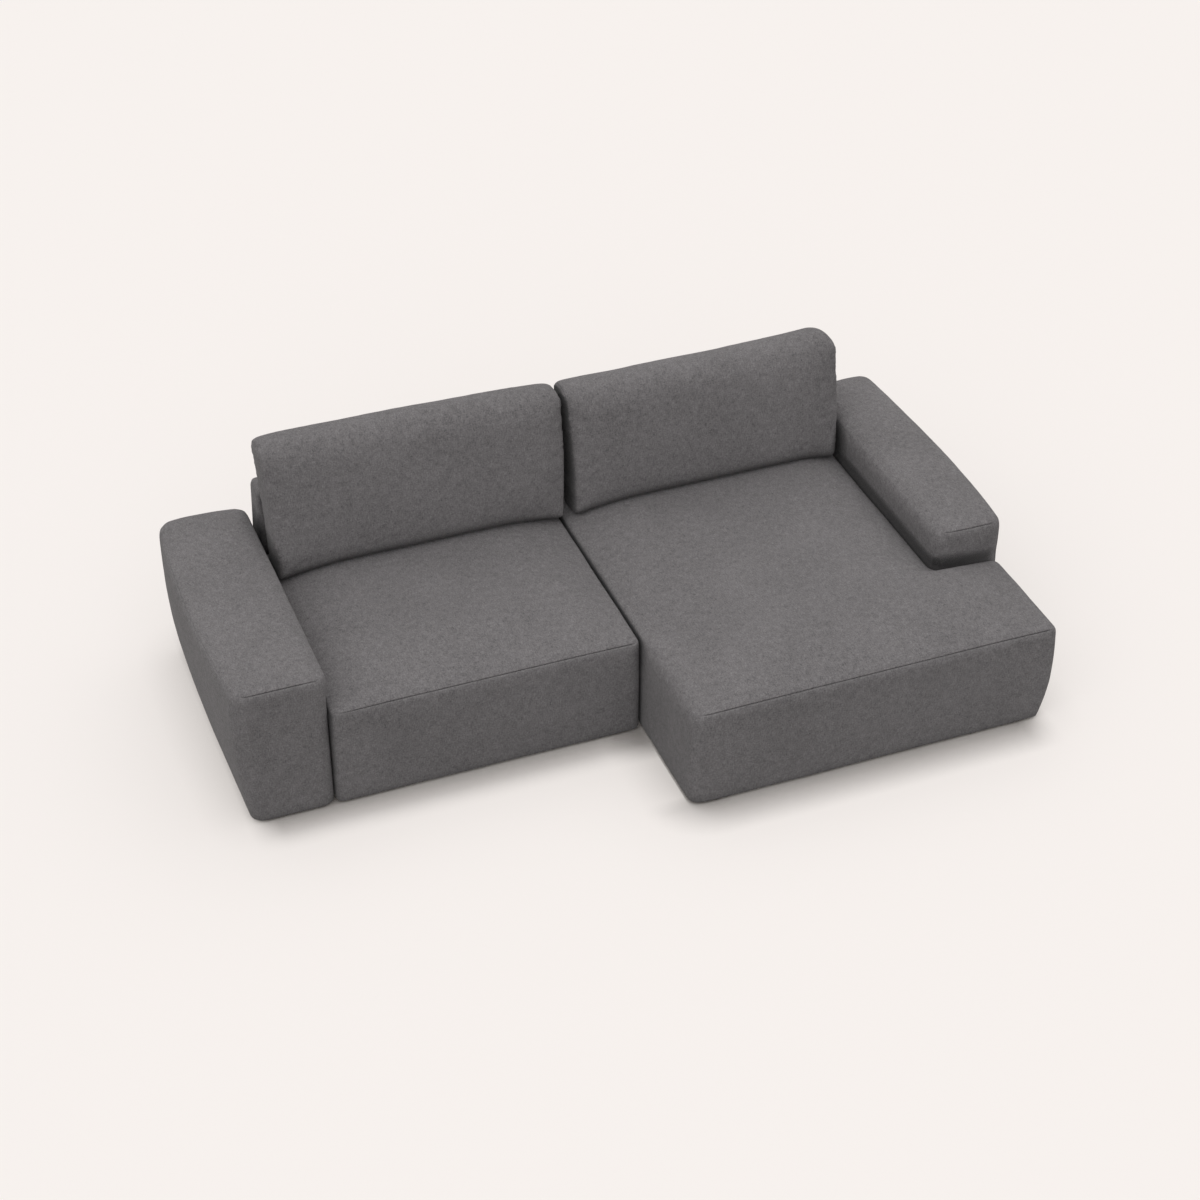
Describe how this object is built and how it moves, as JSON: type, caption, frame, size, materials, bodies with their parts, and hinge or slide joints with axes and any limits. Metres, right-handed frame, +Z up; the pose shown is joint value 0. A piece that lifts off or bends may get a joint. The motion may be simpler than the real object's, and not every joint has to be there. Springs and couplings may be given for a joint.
{
  "type": "corner sofa bed",
  "caption": "Low corner sofa with a right-hand chaise, wide arms and loose back cushions, whose seat pulls forward level with the chaise to make a bed.",
  "frame": {"origin": "on the floor, below the centre of the closed sofa's bounding box", "axes": "+X to the right for someone who faces the sofa's front, +Y to its rear, +Z up"},
  "size_m": [2.826, 1.55, 0.9167],
  "materials": {
    "fabric": "matte",
    "wood": "matte",
    "steel": "satin",
    "plastic": "satin"
  },
  "bodies": {
    "base": {"left_arm_frame": "wood", "left_arm_pad": "fabric", "right_arm_frame": "wood", "right_arm_pad": "fabric", "left_back_frame": "wood", "left_back_pad": "fabric", "right_back_frame": "wood", "right_back_pad": "fabric", "platform_left_panel": "wood", "platform_right_panel": "wood", "platform_front_rail": "wood", "platform_rear_rail": "wood", "platform_slat_1": "wood", "platform_slat_2": "wood", "platform_slat_3": "wood", "platform_foot": "plastic", "left_runner": "steel", "right_runner": "steel", "chaise_pad": "fabric", "chaise_front_pad": "fabric", "chaise_left_pad": "fabric", "chaise_right_pad": "fabric", "chaise_front_board": "wood", "chaise_left_board": "wood", "chaise_right_board": "wood", "chaise_arm_board": "wood", "chaise_centre_rail": "wood", "chaise_front_slat_1": "wood", "chaise_front_slat_2": "wood", "chaise_rear_slat_1": "wood", "chaise_rear_slat_2": "wood", "chaise_front_left_foot": "plastic", "chaise_front_right_foot": "plastic", "left_arm_front_foot": "plastic", "left_arm_rear_foot": "plastic", "right_arm_rear_foot": "plastic", "back_foot": "plastic"},
    "seat": {"seat_pad": "fabric", "seat_front_pad": "fabric", "seat_left_pad": "fabric", "seat_right_pad": "fabric", "seat_front_board": "wood", "seat_left_board": "wood", "seat_right_board": "wood", "seat_rear_rail": "wood", "seat_centre_rail": "wood", "seat_slat_1": "wood", "seat_slat_2": "wood", "seat_slat_3": "wood", "seat_slat_4": "wood", "left_castor_bracket": "steel", "right_castor_bracket": "steel", "left_roller_bracket": "steel", "right_roller_bracket": "steel"},
    "left_castor": {"left_castor": "plastic"},
    "right_castor": {"right_castor": "plastic"},
    "left_roller": {"left_roller": "plastic"},
    "right_roller": {"right_roller": "plastic"},
    "left_cushion": {"left_back_cushion": "fabric"},
    "right_cushion": {"right_back_cushion": "fabric"}
  },
  "joints": [
    {"name": "seat_pull_out", "type": "slide", "parent": "base", "child": "seat", "axis": [0, -1, 0], "range_m": [0, 0.455]},
    {"name": "left_castor_roll", "type": "hinge", "parent": "seat", "child": "left_castor", "pos_m": [-0.9517, -0.2327, 0.0303], "axis": [1, 0, 0], "range_deg": [-10, 880]},
    {"name": "right_castor_roll", "type": "hinge", "parent": "seat", "child": "right_castor", "pos_m": [-0.1183, -0.2327, 0.0303], "axis": [1, 0, 0], "range_deg": [-10, 880]},
    {"name": "left_roller_roll", "type": "hinge", "parent": "seat", "child": "left_roller", "pos_m": [-1.0524, 0.602, 0.1203], "axis": [1, 0, 0], "range_deg": [-10, 1315]},
    {"name": "right_roller_roll", "type": "hinge", "parent": "seat", "child": "right_roller", "pos_m": [-0.0176, 0.602, 0.1203], "axis": [1, 0, 0], "range_deg": [-10, 1315]},
    {"name": "left_cushion_lift", "type": "slide", "parent": "seat", "child": "left_cushion", "axis": [0, 0, 1], "range_m": [0, 0.6]},
    {"name": "right_cushion_lift", "type": "slide", "parent": "base", "child": "right_cushion", "axis": [0, 0, 1], "range_m": [0, 0.6]}
  ],
  "couplings": [
    {"joint": "left_castor_roll", "follows": "seat_pull_out", "rad_per_m": 33.333},
    {"joint": "right_castor_roll", "follows": "seat_pull_out", "rad_per_m": 33.333},
    {"joint": "left_roller_roll", "follows": "seat_pull_out", "rad_per_m": 50},
    {"joint": "right_roller_roll", "follows": "seat_pull_out", "rad_per_m": 50}
  ]
}
